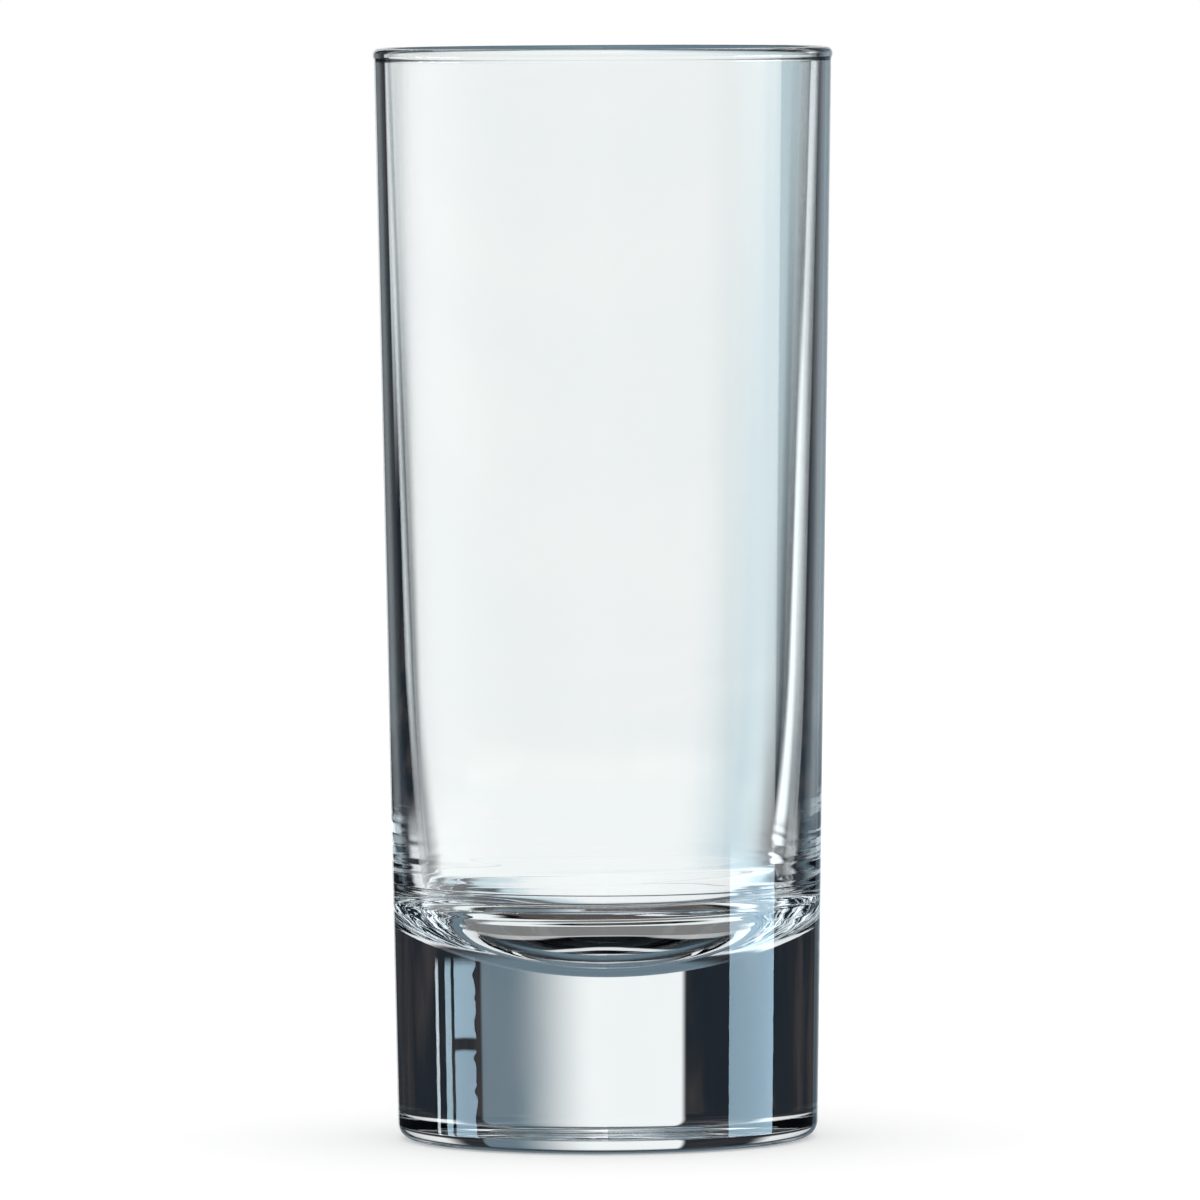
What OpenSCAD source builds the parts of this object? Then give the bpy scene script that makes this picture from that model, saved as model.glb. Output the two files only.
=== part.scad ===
// Highball glass: one piece of clear glass, turned about the Z axis.
// Origin at the middle of the standing face, +Z up, millimetres.

/* [Overall size] */
// Height from the standing ring to the top of the rim
glass_h = 155; // [135:0.5:175]
// Outer diameter of the wall at the mouth, just under the rim bead
mouth_d = 64.9; // [62:0.1:70]
// Outer diameter where the straight wall comes down to the rounded heel
foot_d = 59.8; // [57:0.1:62]

/* [Wall] */
// Wall thickness at the mouth, just under the rim bead
wall_mouth = 1.6; // [1.3:0.05:1.9]
// Height at which the inner wall starts to curve in towards the floor
swell_h = 68; // [55:1:85]
// Wall thickness at that height
wall_swell = 2.55; // [2:0.05:3.5]
// Radius of that long inward curve
swell_r = 510; // [300:10:900]

/* [Rim bead] */
// Thickness of the fire-rounded bead that ends the wall
bead_d = 2; // [1.75:0.05:2.6]
// Radius of the neck where the bead runs into the wall, inside and out
neck_r = 1.2; // [0.6:0.1:2.5]

/* [Heavy base] */
// Thickness of the solid base under the lowest point of the floor
base_t = 23.7; // [16:0.1:32]
// Radius of the dished floor
dish_r = 37; // [31:0.5:60]
// Radius of the round between the inner wall and the floor
corner_r = 4; // [2:0.5:14]

/* [Foot] */
// Radius of the rounded heel
heel_r = 2.2; // [1.5:0.1:4]
// Width of the flat ring that the glass stands on
ring_w = 5; // [3:0.5:8]
// Depth of the hollow under the base, inside the standing ring
punt_depth = 0.3; // [0.2:0.05:1.6]

/* [Fineness] */
// Largest gap between a round stretch of the outline and its chords
chord_gap = 0.004; // [0.002:0.001:0.02]
// Number of steps of a full turn in the preview
turn_steps = 180; // [60:12:360]

/* [Hidden] */

// Heading of a vector in degrees, from -90 up to 270
function heading(v) = let (a = atan2(v.y, v.x)) a < -90 ? a + 360 : a;

// Unit vector at a heading
function unit(a) = [cos(a), sin(a)];

// Points of an arc, close enough together to keep within chord_gap
function arc(centre, radius, from, to) =
    let (count = max(1, ceil(abs(to - from) / (2 * acos(1 - chord_gap / radius)))))
    [for (i = [0 : count]) centre + radius * unit(from + (to - from) * i / count)];

// Where a line from p along the unit vector u first comes within dist of centre, from below
function lower_hit(p, u, centre, dist) =
    let (along = u * (p - centre), apart = norm(p - centre))
    p + u * (-along - sqrt(along * along - apart * apart + dist * dist));

// Where circles about a and b with radii ra and rb cross, on the right of the way from a to b
function meet(a, ra, b, rb) =
    let (apart = norm(b - a), u = (b - a) / apart)
    let (along = (ra * ra - rb * rb + apart * apart) / (2 * apart))
    a + along * u + sqrt(ra * ra - along * along) * [u.y, -u.x];

// Outer wall: a straight line from the heel to the mouth
mouth_h = glass_h - bead_d;
mouth_out = [mouth_d / 2, mouth_h];
foot_out = [foot_d / 2, heel_r];
out_heading = heading(mouth_out - foot_out);
out_up = unit(out_heading);
out_side = unit(out_heading - 90);

// Inner wall: a straight line with a steeper taper than the outer one, then a long inward curve
mouth_in = mouth_out - [wall_mouth, 0];
swell_out = foot_out + out_up * (swell_h - heel_r) / out_up.y;
swell_in = swell_out - [wall_swell, 0];
in_heading = heading(mouth_in - swell_in);
in_up = unit(in_heading);
in_side = unit(in_heading + 90);
swell_mid = swell_in + in_side * swell_r;

// Rim bead: a round centred on the wall, with a neck on each side
bead_r = bead_d / 2;
bead_mid = [(mouth_out.x + mouth_in.x) / 2, glass_h - bead_r];
neck_out = lower_hit(foot_out + out_side * neck_r, out_up, bead_mid, bead_r + neck_r);
neck_in = lower_hit(swell_in + in_side * neck_r, in_up, bead_mid, bead_r + neck_r);

// Floor: a dish whose edge turns up into the inner wall
dish_mid = [0, base_t + dish_r];
corner_mid = meet(swell_mid, swell_r - corner_r, dish_mid, dish_r - corner_r);
swell_end = heading(corner_mid - swell_mid);
corner_end = heading(corner_mid - dish_mid);

// Foot: the heel, the standing ring and the hollow under the base
heel_mid = [foot_out.x - heel_r / out_side.x, heel_r];
punt_w = heel_mid.x - ring_w;
punt_r = (punt_w * punt_w + punt_depth * punt_depth) / (2 * punt_depth);
punt_mid = [0, punt_depth - punt_r];

// Half of the glass's section, from the axis under the base round to the axis in the cup
glass_outline = concat(
    arc(punt_mid, punt_r, 90, 90 - asin(punt_w / punt_r)),
    arc(heel_mid, heel_r, -90, out_heading - 90),
    arc(neck_out, neck_r, out_heading + 90, heading(bead_mid - neck_out)),
    arc(bead_mid, bead_r, heading(neck_out - bead_mid), 0),
    arc(bead_mid, bead_r, 0, 90),
    arc(bead_mid, bead_r, 90, heading(neck_in - bead_mid)),
    arc(neck_in, neck_r, heading(bead_mid - neck_in), in_heading - 90),
    arc(swell_mid, swell_r, in_heading - 90, swell_end),
    arc(corner_mid, corner_r, swell_end, corner_end),
    arc(dish_mid, dish_r, corner_end, -90)
);

module glass_body() {
    color([0.87, 0.94, 0.95, 0.45])
        rotate_extrude($fn = turn_steps)
            polygon(glass_outline);
}

glass_body();
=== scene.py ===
# Highball glass: the dressed part on a pale floor, in a studio that its clear glass shows
import math

import bpy
from mathutils import Matrix, Vector


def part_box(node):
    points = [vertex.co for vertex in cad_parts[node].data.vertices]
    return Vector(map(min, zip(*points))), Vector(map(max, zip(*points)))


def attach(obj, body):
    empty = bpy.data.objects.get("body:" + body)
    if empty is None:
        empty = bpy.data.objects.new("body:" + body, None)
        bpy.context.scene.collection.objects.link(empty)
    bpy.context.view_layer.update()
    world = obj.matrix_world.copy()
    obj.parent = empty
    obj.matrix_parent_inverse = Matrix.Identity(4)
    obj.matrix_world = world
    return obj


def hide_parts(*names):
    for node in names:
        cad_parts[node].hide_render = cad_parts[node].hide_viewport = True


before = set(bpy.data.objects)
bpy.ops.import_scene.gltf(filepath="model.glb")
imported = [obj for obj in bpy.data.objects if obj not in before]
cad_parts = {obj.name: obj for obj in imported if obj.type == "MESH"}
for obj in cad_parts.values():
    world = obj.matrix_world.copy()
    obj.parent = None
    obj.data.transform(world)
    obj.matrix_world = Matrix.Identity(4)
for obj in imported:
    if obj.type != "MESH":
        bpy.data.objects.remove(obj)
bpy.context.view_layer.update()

# Camera: a long lens a little above the rim, as in the photograph

cameraSetup = {
    "distance": 1.93,  # from the glass's axis, m
    "height": 0.175,  # above the floor, m
    "aimHeight": 0.07645,  # what it looks at, m above the floor
    "aimSide": -0.00074,  # and beside the glass's axis
    "lens": 407.8,
    "roll": -0.29,  # degrees
}


def makeCamera():
    setup = cameraSetup
    lensData = bpy.data.cameras.new("photoCamera")
    lensData.lens = setup["lens"]
    lensData.sensor_width = 36.0
    lensData.clip_start = 0.05
    lensData.clip_end = 60.0
    camera = bpy.data.objects.new("photoCamera", lensData)
    bpy.context.collection.objects.link(camera)
    place = Vector((0, -setup["distance"], setup["height"]))
    aim = Vector((setup["aimSide"], 0, setup["aimHeight"]))
    turn = (aim - place).to_track_quat("-Z", "Y").to_matrix().to_4x4()
    roll = Matrix.Rotation(math.radians(setup["roll"]), 4, "Z")
    camera.matrix_world = Matrix.Translation(place) @ turn @ roll
    bpy.context.scene.camera = camera


makeCamera()
print("camera set")

# Shader sockets with arithmetic


class Wire:
    # one socket of a node tree: sums and products of wires add their Math nodes
    def __init__(self, tree, socket):
        self.tree = tree
        self.socket = socket

    def math(self, operation, *others):
        return makeNode(self.tree, "ShaderNodeMath", {"operation": operation}, [self, *others])

    def __add__(self, other):
        return self.math("ADD", other)

    def __sub__(self, other):
        return self.math("SUBTRACT", other)

    def __mul__(self, other):
        return self.math("MULTIPLY", other)

    def __rsub__(self, other):
        return makeNode(self.tree, "ShaderNodeMath", {"operation": "SUBTRACT"}, [other, self])

    __radd__ = __add__
    __rmul__ = __mul__

    def rise(self, start, end):
        # 0 up to start, 1 from end on, and a soft step between
        settings = {"interpolation_type": "SMOOTHSTEP"}
        sockets = {"Value": self, "From Min": start, "From Max": end}
        return makeNode(self.tree, "ShaderNodeMapRange", settings, sockets)


def makeNode(tree, kind, settings=None, sockets=None, output=0):
    # settings are the node's own; sockets are a list or a dictionary of numbers, colours or wires
    node = tree.nodes.new(kind)
    for name, value in (settings or {}).items():
        setattr(node, name, value)
    pairs = sockets.items() if isinstance(sockets, dict) else enumerate(sockets or [])
    for name, value in pairs:
        if isinstance(value, Wire):
            tree.links.new(value.socket, node.inputs[name])
        else:
            node.inputs[name].default_value = value
    return Wire(tree, node.outputs[output]) if node.outputs else None


def mixColour(tree, factor, low, high, blend="MIX"):
    settings = {"data_type": "RGBA", "blend_type": blend}
    return makeNode(tree, "ShaderNodeMix", settings, {0: factor, 6: low, 7: high}, output=2)


def addColour(tree, first, second):
    return mixColour(tree, 1.0, first, second, "ADD")


def stretchVector(tree, vector, stretch):
    return makeNode(tree, "ShaderNodeVectorMath", {"operation": "MULTIPLY"}, [vector, stretch])


def splitVector(tree, vector):
    return [makeNode(tree, "ShaderNodeSeparateXYZ", None, [vector], output=i) for i in range(3)]


def makeNoise(tree, vector, detail, scale=1.0):
    sockets = {"Vector": vector, "Scale": scale, "Detail": detail}
    return makeNode(tree, "ShaderNodeTexNoise", None, sockets)


def startMaterial(name):
    material = bpy.data.materials.new(name)
    material.use_nodes = True
    material.node_tree.nodes.clear()
    return material, material.node_tree


black = (0, 0, 0, 1)
white = (1, 1, 1, 1)


# The glass: half its section goes round the axis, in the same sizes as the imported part

onePoint = 1e-6  # points nearer than this are the same one, mm
glassShape = {  # mm, as in the part
    "height": 155.0,
    "mouth": 64.9,
    "foot": 59.8,
    "wallMouth": 1.6,
    "swellHeight": 68.0,
    "wallSwell": 2.55,
    "swell": 510.0,
    "bead": 2.0,
    "neck": 1.2,
    "baseThick": 23.7,
    "dish": 37.0,
    "corner": 4.0,
    "heel": 2.2,
    "ring": 5.0,
    "punt": 0.3,
    "stepLength": 0.6,  # longest step along the outline
    "stepTurn": 3.0,  # largest turn at one step, degrees
    "around": 256,  # steps round the axis
}


def unit(degrees):
    return Vector((math.cos(math.radians(degrees)), math.sin(math.radians(degrees))))


def heading(vector):
    # direction of a flat vector in degrees, from -90 up to 270
    degrees = math.degrees(math.atan2(vector.y, vector.x))
    return degrees + 360 if degrees < -90 else degrees


def arc(centre, radius, start, end):
    length = radius * math.radians(abs(end - start))
    count = max(2, math.ceil(length / glassShape["stepLength"]))
    count = max(count, math.ceil(abs(end - start) / glassShape["stepTurn"]))
    return [centre + radius * unit(start + (end - start) * i / count) for i in range(count + 1)]


def straight(start, end):
    count = max(2, math.ceil((end - start).length / glassShape["stepLength"]))
    return [start.lerp(end, i / count) for i in range(1, count)]


def lowerHit(point, along, centre, distance):
    # where a line first comes within distance of centre, from below
    offset = point - centre
    reach = along.dot(offset)
    return point + along * (-reach - math.sqrt(reach**2 - offset.length_squared + distance**2))


def meet(centreA, radiusA, centreB, radiusB):
    # where two circles cross, on the right of the way from A to B
    apart = (centreB - centreA).length
    along = (radiusA**2 - radiusB**2 + apart**2) / (2 * apart)
    step = (centreB - centreA) / apart
    return centreA + step * along + Vector((step.y, -step.x)) * math.sqrt(radiusA**2 - along**2)


def glassOutline():
    # (radius, height) in mm from the axis under the base, round the rim, to the axis in the cup
    s = glassShape
    mouthOut = Vector((s["mouth"] / 2, s["height"] - s["bead"]))
    footOut = Vector((s["foot"] / 2, s["heel"]))
    outTurn = heading(mouthOut - footOut)
    outUp = unit(outTurn)
    outSide = unit(outTurn - 90)

    mouthIn = mouthOut - Vector((s["wallMouth"], 0))
    swellOut = footOut + outUp * (s["swellHeight"] - s["heel"]) / outUp.y
    swellIn = swellOut - Vector((s["wallSwell"], 0))
    inTurn = heading(mouthIn - swellIn)
    inUp = unit(inTurn)
    inSide = unit(inTurn + 90)
    swellMid = swellIn + inSide * s["swell"]

    beadR = s["bead"] / 2
    beadMid = Vector(((mouthOut.x + mouthIn.x) / 2, s["height"] - beadR))
    neckOut = lowerHit(footOut + outSide * s["neck"], outUp, beadMid, beadR + s["neck"])
    neckIn = lowerHit(swellIn + inSide * s["neck"], inUp, beadMid, beadR + s["neck"])

    dishMid = Vector((0, s["baseThick"] + s["dish"]))
    cornerMid = meet(swellMid, s["swell"] - s["corner"], dishMid, s["dish"] - s["corner"])
    swellEnd = heading(cornerMid - swellMid)
    cornerEnd = heading(cornerMid - dishMid)

    heelMid = Vector((footOut.x - s["heel"] / outSide.x, s["heel"]))
    puntWide = heelMid.x - s["ring"]
    puntR = (puntWide**2 + s["punt"] ** 2) / (2 * s["punt"])
    puntMid = Vector((0, s["punt"] - puntR))

    stretches = [
        arc(puntMid, puntR, 90, 90 - math.degrees(math.asin(puntWide / puntR))),
        arc(heelMid, s["heel"], -90, outTurn - 90),
        arc(neckOut, s["neck"], outTurn + 90, heading(beadMid - neckOut)),
        arc(beadMid, beadR, heading(neckOut - beadMid), 0),
        arc(beadMid, beadR, 0, 90),
        arc(beadMid, beadR, 90, heading(neckIn - beadMid)),
        arc(neckIn, s["neck"], heading(beadMid - neckIn), inTurn - 90),
        arc(swellMid, s["swell"], inTurn - 90, swellEnd),
        arc(cornerMid, s["corner"], swellEnd, cornerEnd),
        arc(dishMid, s["dish"], cornerEnd, -90),
    ]
    outline = []
    for stretch in stretches:
        if outline and (stretch[0] - outline[-1]).length > onePoint:
            outline += straight(outline[-1], stretch[0])
        elif outline:
            outline.pop()
        outline += stretch
    return outline


ripples = {  # settling waves of the cooling glass on the inner wall and the cup's corner
    "low": (30.0, 33.5),  # they fade in between these heights, mm
    "high": (35.0, 44.0),  # and out between these
    "deep": 0.045,  # mm
    "step": 0.2,  # longest step along the outline where they run
    "lead": 1.0,  # the short steps start this far under them
    "waves": (  # length along the outline, mm; share of the depth; start and turns round the glass
        (2.3, 0.45, 0.3, 0),
        (2.3, 0.25, 1.9, 2),
        (3.7, 0.35, 4.1, 1),
        (1.4, 0.20, 2.6, 3),
        (5.3, 0.40, 0.9, -2),
    ),
}


def refine(outline):
    # shorter steps on the inner wall near the floor
    fine = [outline[0]]
    for here, after in zip(outline, outline[1:]):
        near = ripples["low"][0] - ripples["lead"] < after.y < ripples["high"][1]
        inner = near and after.x < here.x + onePoint
        count = max(1, math.ceil((after - here).length / ripples["step"])) if inner else 1
        fine += [here.lerp(after, i / count) for i in range(1, count + 1)]
    return fine


def rippleDepth(along, height, turn):
    low = (height - ripples["low"][0]) / (ripples["low"][1] - ripples["low"][0])
    high = (ripples["high"][1] - height) / (ripples["high"][1] - ripples["high"][0])
    strength = min(max(low, 0), 1) * min(max(high, 0), 1)
    waves = 0
    for length, share, start, turns in ripples["waves"]:
        waves += share * math.sin(2 * math.pi * along / length + start + turns * turn)
    return ripples["deep"] * strength * waves


def makeGlass():
    outline = refine(glassOutline())
    around = glassShape["around"]
    low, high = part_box("glass_body")
    scale = (high.z - low.z) / glassShape["height"]
    rings = outline[1:-1]
    verts = [(0, 0, outline[0].y * scale), (0, 0, outline[-1].y * scale)]  # on the axis
    first = len(verts)
    along = 0
    rim = max(point.y for point in outline)
    inside = False  # the cup's side of the outline, past the top of the rim
    for before, point, after in zip(outline, rings, outline[2:]):
        along += (point - before).length
        inside = inside or point.y >= rim
        across = (after - before).normalized()
        for k in range(around):
            turn = 2 * math.pi * k / around
            depth = rippleDepth(along, point.y, turn) if inside else 0
            radius = (point.x + across.y * depth) * scale
            height = (point.y - across.x * depth) * scale
            verts.append((radius * math.cos(turn), radius * math.sin(turn), height))
    faces = []
    last = first + (len(rings) - 1) * around
    for k in range(around):
        after = (k + 1) % around
        faces.append((0, first + after, first + k))
        faces.append((1, last + k, last + after))
        for row in range(first, last, around):
            faces.append((row + k, row + after, row + around + after, row + around + k))
    mesh = bpy.data.meshes.new("highballGlass")
    mesh.from_pydata(verts, [], faces)
    mesh.update()
    mesh.shade_smooth()
    glass = bpy.data.objects.new("highballGlass", mesh)
    bpy.context.collection.objects.link(glass)
    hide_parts("glass_body")
    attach(glass, "root")
    return glass


glass = makeGlass()
print("glass turned:", len(glass.data.vertices), "points")

# Clear glass

clearGlass = {
    "tint": (0.99, 0.998, 0.998, 1.0),
    "deepTint": (0.978, 0.99, 0.99, 1.0),  # in the clouds that the tint has
    "clouds": 70.0,  # per metre
    "cloudDetail": 2.0,
    "bend": 1.52,
    "drawn": {  # faint upright streaks that the mould leaves
        "stretch": (260.0, 260.0, 3.0),  # per metre along each axis
        "detail": 1.0,
        "deep": 0.000012,  # m
    },
    "inner": {  # painted glow: emission that stands in for light turned too often inside the thick glass to be followed further
        "turns": (3.2, 3.8),  # it comes in from the fourth turn on
        "stretch": (60.0, 60.0, 700.0),  # streaks per metre along each axis
        "detail": 2.0,
        "dark": (0.004, 0.008, 0.012, 1),
        "bright": (0.7, 0.8, 0.85, 1),
        "edge": (0.52, 0.58),  # noise values at which dark turns to bright
        "above": (0.026, 0.028),  # heights over which it comes in, m
        "below": (0.042, 0.048),  # and goes out
    },
}


def dressGlass(glass):
    material, tree = startMaterial("clearGlass")
    spot = makeNode(tree, "ShaderNodeTexCoord", output="Object")
    height = splitVector(tree, spot)[2]

    # painted glow in the thick base: emission with dark and bright streaks, standing in for light
    # that has turned inside the glass
    inner = clearGlass["inner"]
    streaks = makeNoise(tree, stretchVector(tree, spot, inner["stretch"]), inner["detail"])
    turned = makeNode(tree, "ShaderNodeLightPath", output="Glossy Depth").rise(*inner["turns"])
    turned = turned * height.rise(*inner["above"]) * (1 - height.rise(*inner["below"]))
    paintedGlow = mixColour(tree, streaks.rise(*inner["edge"]), inner["dark"], inner["bright"])

    drawn = clearGlass["drawn"]
    waves = makeNoise(tree, stretchVector(tree, spot, drawn["stretch"]), drawn["detail"])
    bump = {"Strength": 1.0, "Distance": drawn["deep"], "Height": waves}
    clouds = makeNoise(tree, spot, clearGlass["cloudDetail"], clearGlass["clouds"])
    sockets = {
        "Base Color": mixColour(tree, clouds, clearGlass["tint"], clearGlass["deepTint"]),
        "Normal": makeNode(tree, "ShaderNodeBump", None, bump),
        "Roughness": 0.0,
        "IOR": clearGlass["bend"],
        "Transmission Weight": 1.0,
        "Emission Color": mixColour(tree, turned, black, paintedGlow),
        "Emission Strength": 1.0,
    }
    shine = makeNode(tree, "ShaderNodeBsdfPrincipled", None, sockets)
    makeNode(tree, "ShaderNodeOutputMaterial", None, {"Surface": shine})
    glass.data.materials.append(material)


dressGlass(glass)
print("glass dressed")

# Floor

floorSetup = {
    "size": 6.0,  # m
    "sink": 0.0001,  # below the standing ring, m
    "colour": (0.8, 0.8, 0.8, 1.0),
    "lift": 0.3,  # what the camera sees on top of its own colour, up to white
}


def makeFloor():
    half = floorSetup["size"] / 2
    mesh = bpy.data.meshes.new("paleFloor")
    corners = [(-half, -half, 0), (half, -half, 0), (half, half, 0), (-half, half, 0)]
    mesh.from_pydata(corners, [], [(0, 1, 2, 3)])
    floor = bpy.data.objects.new("paleFloor", mesh)
    bpy.context.collection.objects.link(floor)
    floor.location.z = -floorSetup["sink"]
    floor.visible_transmission = False
    floor.visible_glossy = False
    material, tree = startMaterial("paleFloor")
    paint = makeNode(tree, "ShaderNodeBsdfDiffuse", None, {"Color": floorSetup["colour"]})
    seen = makeNode(tree, "ShaderNodeLightPath")
    lift = makeNode(tree, "ShaderNodeEmission", None, {"Strength": seen * floorSetup["lift"]})
    both = makeNode(tree, "ShaderNodeAddShader", None, [paint, lift])
    makeNode(tree, "ShaderNodeOutputMaterial", None, {"Surface": both})
    mesh.materials.append(material)


makeFloor()
print("floor laid")

# Painted caustic light and shadow gathered under the glass, seen only through it

mmPerMetre = 1000
gathered = {
    "radius": 0.0275,  # m
    "around": 64,  # steps round the disc
    "sink": 0.00005,  # below the standing ring, m
    "bend": 0.0888,  # the arcs open towards the back: their sag per mm, at the middle one
    "spread": 0.0045,  # and how it changes from arc to arc
    "arcs": {  # painted bands of caustic light and shadow: edges along the middle line, mm from the axis towards the back
        # front is painted shadow under the foot; the lines are painted caustic light
        "front": {"low": (-61, -60), "high": (-17.2, -16.8), "light": (0.085, 0.07, 0.065)},
        "brightLine": {"low": (-16.4, -15.6), "high": (-14.6, -13.8), "light": (0.9, 0.95, 0.95)},
        "streaks": {"low": (-14.6, -13.6), "high": (-10.8, -10.2), "light": (0.22, 0.22, 0.22)},
        "secondLine": {"low": (-10.8, -10.0), "high": (-9.0, -8.2), "light": (0.5, 0.5, 0.5)},
        "innerLine": {"low": (-1.0, 0.2), "high": (1.9, 2.6), "light": (0.85, 0.88, 0.9)},
        "innerEdge": {"low": (6.0, 6.6), "high": (7.6, 8.2), "light": (0.75, 0.78, 0.8)},
        "back": {"low": (8.0, 8.8), "high": (60, 61), "light": (0.13, 0.17, 0.2)},
    },
}


def makeGathered():
    # a disc just above the floor that only shows in the glass, its emission painted caustic light
    # and shadow
    radius = gathered["radius"]
    around = gathered["around"]
    verts = [(0, 0, 0)]
    for k in range(around):
        turn = 2 * math.pi * k / around
        verts.append((radius * math.cos(turn), radius * math.sin(turn), 0))
    faces = [(0, 1 + k, 1 + (k + 1) % around) for k in range(around)]
    mesh = bpy.data.meshes.new("paintedCausticsAndShadow")
    mesh.from_pydata(verts, [], faces)
    disc = bpy.data.objects.new("paintedCausticsAndShadow", mesh)
    bpy.context.collection.objects.link(disc)
    disc.location.z = -gathered["sink"]
    disc.visible_camera = False
    disc.visible_diffuse = False
    disc.visible_shadow = False
    material, tree = startMaterial("paintedCausticsAndShadow")
    spot = makeNode(tree, "ShaderNodeTexCoord", output="Object")
    across, along = (part * mmPerMetre for part in splitVector(tree, spot)[:2])
    square = across * across
    level = (along - square * gathered["bend"]).math("DIVIDE", square * gathered["spread"] + 1)
    total = None
    for arc in gathered["arcs"].values():
        shade = level.rise(*arc["low"]) * (1 - level.rise(*arc["high"]))
        light = mixColour(tree, shade, black, (*arc["light"], 1))
        total = light if total is None else addColour(tree, total, light)
    shine = makeNode(tree, "ShaderNodeEmission", None, {"Color": total})
    makeNode(tree, "ShaderNodeOutputMaterial", None, {"Surface": shine})
    mesh.materials.append(material)


makeGathered()
print("light gathered under the glass")

# Studio: what the glass shows of the room, by azimuth from the far side (+Y) towards +X

studioDark = (0.014, 0.018, 0.023)
clutter = {  # faint things that stand in the dark parts of the room
    "stretch": (5.0, 5.0, 60.0),
    "detail": 3.0,
    "edge": (0.42, 0.72),  # noise values between which cool turns to warm
    "cool": (0.0, 0.002, 0.004, 1),
    "warm": (0.04, 0.03, 0.026, 1),
}
allLeft = (-191, -190)  # edges past every azimuth
allRight = (190, 191)
allUp = (100, 101)  # and past every elevation
allDown = (-92, -91)
roomPanels = {  # edges in degrees: each is where a soft step starts and ends
    "frontTopLeft": {
        "left": allLeft, "right": (-120, -110), "low": (50, 56), "high": allUp,
        "light": (0.1, 0.12, 0.13),
    },
    "frontTopRight": {
        "left": (150, 165), "right": allRight, "low": (50, 56), "high": allUp,
        "light": (0.75, 0.75, 0.75),
    },
    "zenith": {
        "left": allLeft, "right": allRight, "low": (69, 73), "high": allUp,
        "light": (0.6, 0.58, 0.56),
    },
    "overhead": {
        "left": allLeft, "right": allRight, "low": (25, 45), "high": allUp,
        "light": (0.12, 0.18, 0.22),
    },
}
basePanels = {  # seen through the base and the wall's edges
    "backLight": {
        "left": (-15.2, -13.8), "right": (1.5, 19.5), "low": (-11, -6), "high": (19, 27),
        "light": (0.81, 0.78, 0.74),
    },
    "backFade": {
        "left": (-15.2, -13.8), "right": (25.9, 26.9), "low": (-11, -6), "high": (19, 27),
        "light": (0.12, 0.18, 0.22),
    },
    "heelLeft": {
        "left": (-75, -68), "right": (-42, -32), "low": (5, 9), "high": (22, 26),
        "light": (0.9, 0.92, 0.92),
    },
    "heelRight": {
        "left": (32, 42), "right": (68, 75), "low": (5, 9), "high": (22, 26),
        "light": (0.9, 0.92, 0.92),
    },
    "table": {
        "left": (-24, -15), "right": (20, 40), "low": (-80, -60), "high": (-11, -6),
        "light": (0.12, 0.18, 0.22),
    },
}
sidePanels = {  # seen through the base and the open mouth from the glass's other sides
    "sideLeft": {
        "left": (-135, -125), "right": (-98, -90), "low": (-14, -10), "high": (19, 27),
        "light": (0.90, 0.92, 0.93),
    },
    "sideRight": {
        "left": (98, 108), "right": (155, 170), "low": (-75, -60), "high": (19, 27),
        "light": (0.90, 0.92, 0.93),
    },
    "tableLeft": {
        "left": (-118, -105), "right": (-38, -30), "low": (-75, -60), "high": (-14, -10),
        "light": (0.85, 0.88, 0.90),
    },
    "tableRight": {
        "left": (38, 48), "right": (98, 108), "low": (-75, -60), "high": (-14, -10),
        "light": (0.85, 0.88, 0.90),
    },
    "tableBackLeft": {
        "left": allLeft, "right": (-118, -105), "low": (-75, -60), "high": (-14, -10),
        "light": (0.85, 0.88, 0.90),
    },
    "tableBackRight": {
        "left": (155, 170), "right": allRight, "low": (-75, -60), "high": (-14, -10),
        "light": (0.85, 0.88, 0.90),
    },
    "tableBelow": {
        "left": allLeft, "right": allRight, "low": allDown, "high": (-75, -60),
        "light": (0.85, 0.88, 0.90),
    },
}
edgePanels = {  # seen along the wall, turned back once by its inside
    "edgeLeft": {
        "left": (-27, -13), "right": (-0.5, 0.5), "low": (-14, -12), "high": (3, 5),
        "light": (0.30, 0.34, 0.36),
    },
    "edgeLeftLine": {
        "left": (-60, -55), "right": (-33, -30), "low": (-4.6, -3.4), "high": (3, 5),
        "light": (0.80, 0.84, 0.86),
    },
    "edgeRight": {
        "left": (-0.5, 0.5), "right": (16, 38), "low": (-14, -12), "high": (3, 5),
        "light": (0.36, 0.42, 0.46),
    },
}
edgeRange = (-12, -10)  # they fill in for the base's panels above this elevation
cupPanels = {  # seen through the cup
    "window": {
        "left": (-19, -11.5), "right": (1.8, 5.6), "low": (-72, -52), "high": (19, 27),
        "light": (0.36, 0.24, 0.18),
    },
    "blueSide": {
        "left": (-19, -11.5), "right": (6, 12), "low": (-72, -52), "high": (19, 27),
        "light": (0.62, 0.76, 0.81),
    },
    "rightLine": {
        "left": (11.5, 13.5), "right": (15, 21), "low": (-11, -9), "high": (0, 2),
        "light": (1.35, 1.45, 1.5),
    },
    "rightDim": {
        "left": (17.5, 20.0), "right": (30, 40), "low": (-11, -9), "high": (0, 2),
        "light": (0.16, 0.20, 0.22),
    },
    "leftLine": {
        "left": (-45, -40), "right": (-25, -16.5), "low": (-11, -3.2), "high": (0, 2),
        "light": (1.5, 1.6, 1.65),
    },
}
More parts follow.
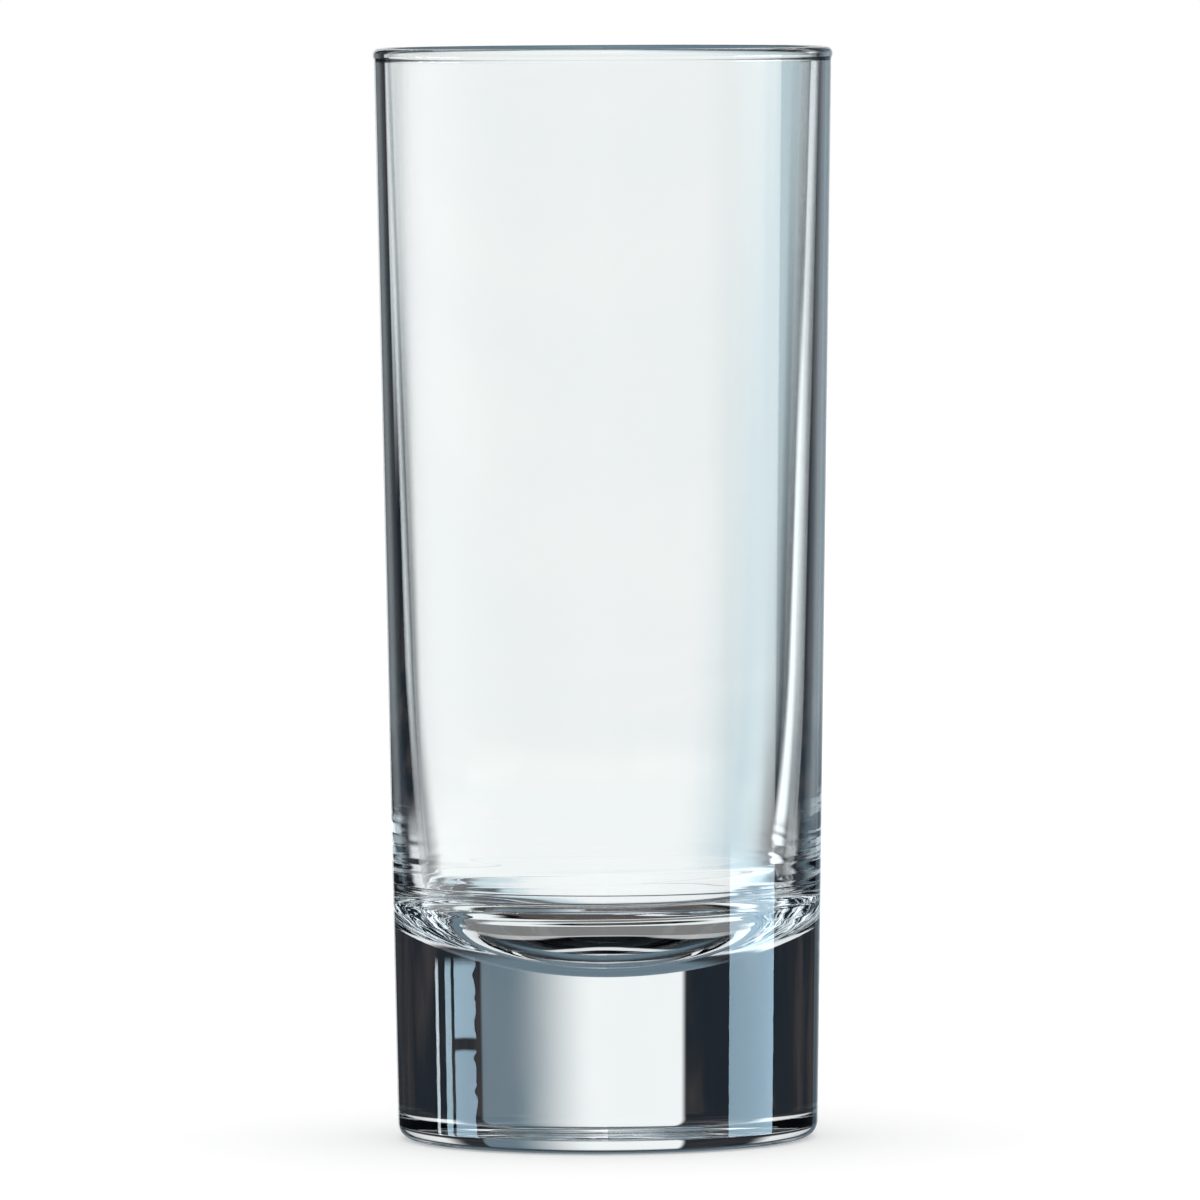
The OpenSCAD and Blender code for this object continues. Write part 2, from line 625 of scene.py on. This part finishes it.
roundPanels = {  # and through it too, where nothing inside it turns the light back
    "roundLeft": {
        "left": allLeft, "right": (-60, -48), "low": (-80, -70), "high": (30, 40),
        "light": (1.0, 1.0, 1.0),
    },
    "roundRight": {
        "left": (46, 58), "right": allRight, "low": (-80, -70), "high": (30, 40),
        "light": (1.0, 1.0, 1.0),
    },
    "nearLeft": {
        "left": (-60, -48), "right": (-38, -30), "low": (-80, -70), "high": (-20, -15),
        "light": (1.0, 1.0, 1.0),
    },
    "nearRight": {
        "left": (24, 34), "right": (46, 58), "low": (-80, -70), "high": (-20, -15),
        "light": (1.0, 1.0, 1.0),
    },
}
waver = {  # how unevenly the mirrored window's edges run
    "wide": 5.0,  # degrees
    "often": 15.0,  # per degree up
    "detail": 2.0,
    "side": (-100, -92),  # azimuths over which it dies down
    "rest": 0.12,  # and what is left of it
}
mirrorLean = 1.94  # the wall's slope lowers what it mirrors by up to this much, degrees
mirrorPanels = {  # mirrored in the outside; low and high are how steeply the glass is looked at
    "rightSoftbox": {
        "left": (77.2, 77.6), "right": (109.8, 110.2), "low": (-14, -13), "high": (-4.2, -3.9),
        "light": (4.7, 6.9, 8.5),
    },
    "rightSoftboxTop": {
        "left": (77.2, 78.2), "right": (90, 116), "low": (-4.2, -3.9), "high": (5, 6),
        "light": (3.0, 2.9, 2.8),
    },
    "leftWindow": {
        "left": (-103.3, -102.9), "right": (-88.5, -88.1),
        "low": (-4.766, -4.748), "high": (-4.468, -4.408),
        "light": (5.2, 7.6, 9.3),
    },
    "leftWindowFoot": {
        "left": (-103.3, -102.9), "right": (-88.5, -88.1),
        "low": (-14, -13), "high": (-4.820, -4.802),
        "light": (4.5, 6.6, 8.2),
    },
    "leftWindowEdge": {
        "left": (-85.9, -85.6), "right": (-81.3, -80.9),
        "low": (-14, -13), "high": (-4.468, -4.408),
        "light": (5.0, 7.0, 8.2),
    },
    "leftWindowLine": {
        "left": (-75.6, -74.8), "right": (-73.0, -72.2),
        "low": (-14, -13), "high": (-4.468, -4.408),
        "light": (7.0, 8.0, 8.6),
    },
    "leftFill": {
        "left": (-135, -65), "right": (-66, -56), "low": (-4.289, -4.169), "high": (5, 6),
        "light": (1.9, 1.95, 2.0),
    },
    "frontFillLeft": {
        "left": allLeft, "right": (-75, -60), "low": (-4.289, -4.169), "high": (5, 6),
        "light": (0.5, 0.5, 0.5),
    },
    "frontFillRight": {
        "left": (112, 130), "right": allRight, "low": (-4.289, -4.169), "high": (5, 6),
        "light": (0.5, 0.5, 0.5),
    },
}


turnedOnce = (0.2, 0.8)  # soft steps between whole numbers of turns or surfaces on a ray's way
enteredOnce = (0.2, 0.8)
enteredTwice = (1.2, 1.8)
enteredFour = (3.2, 3.8)


def addPanels(tree, azimuth, elevation, panels):
    # sum of the panels' light at a direction
    total = None
    for panel in panels.values():
        shade = azimuth.rise(*panel["left"]) * (1 - azimuth.rise(*panel["right"]))
        shade = shade * elevation.rise(*panel["low"]) * (1 - elevation.rise(*panel["high"]))
        light = mixColour(tree, shade, black, (*panel["light"], 1))
        total = light if total is None else addColour(tree, total, light)
    return total


def makeStudio():
    world = bpy.data.worlds.new("studio")
    bpy.context.scene.world = world
    world.use_nodes = True
    tree = world.node_tree
    tree.nodes.clear()
    look = makeNode(tree, "ShaderNodeTexCoord")
    east, north, up = splitVector(tree, look)
    azimuth = east.math("ARCTAN2", north) * math.degrees(1)
    elevation = up.math("ARCSINE") * math.degrees(1)
    glossy = makeNode(tree, "ShaderNodeLightPath", output="Is Glossy Ray")
    mirrored = makeNode(tree, "ShaderNodeLightPath", output="Is Reflection Ray")
    through = makeNode(tree, "ShaderNodeLightPath", output="Is Transmission Ray")
    turned = makeNode(tree, "ShaderNodeLightPath", output="Glossy Depth").rise(*turnedOnce)
    entered = makeNode(tree, "ShaderNodeLightPath", output="Transmission Depth")

    # the dark room with what stands in it
    room = addPanels(tree, azimuth, elevation, roomPanels)
    room = addColour(tree, room, (*studioDark, 1))
    things = makeNoise(tree, stretchVector(tree, look, clutter["stretch"]), clutter["detail"])
    things = mixColour(tree, things.rise(*clutter["edge"]), clutter["cool"], clutter["warm"])
    room = addColour(tree, room, things)

    # what shows through the base and the wall's edges
    base = addPanels(tree, azimuth, elevation, basePanels)
    sides = addPanels(tree, azimuth, elevation, sidePanels)
    base = mixColour(tree, entered.rise(*enteredOnce), base, addColour(tree, base, sides))
    edge = addPanels(tree, azimuth, elevation, edgePanels)
    inWall = turned * entered.rise(*enteredTwice) * elevation.rise(*edgeRange)
    base = mixColour(tree, inWall, base, edge)

    # what shows through the cup
    cup = addPanels(tree, azimuth, elevation, cupPanels)
    around = addPanels(tree, azimuth, elevation, {**cupPanels, **roundPanels})
    cup = mixColour(tree, turned, around, cup)
    room = addColour(tree, room, mixColour(tree, entered.rise(*enteredFour), base, cup))

    # what the outside mirrors
    lean = (azimuth.math("ABSOLUTE") * math.radians(0.5)).math("SINE") * mirrorLean
    steep = elevation + lean
    uneven = {"W": steep * waver["often"], "Scale": 1.0, "Detail": waver["detail"]}
    uneven = makeNode(tree, "ShaderNodeTexNoise", {"noise_dimensions": "1D"}, uneven)
    calm = 1 - azimuth.rise(*waver["side"]) * (1 - waver["rest"])
    uneven = (uneven - 0.5) * calm * waver["wide"]
    boxes = addPanels(tree, azimuth + uneven, steep, mirrorPanels)
    room = mixColour(tree, mirrored, room, addColour(tree, room, boxes))

    seen = mixColour(tree, glossy.math("MAXIMUM", through), white, room)
    shine = makeNode(tree, "ShaderNodeBackground", None, {"Color": seen})
    makeNode(tree, "ShaderNodeOutputWorld", None, {"Surface": shine})


makeStudio()
bpy.context.scene.view_settings.view_transform = "Standard"
print("studio lit")
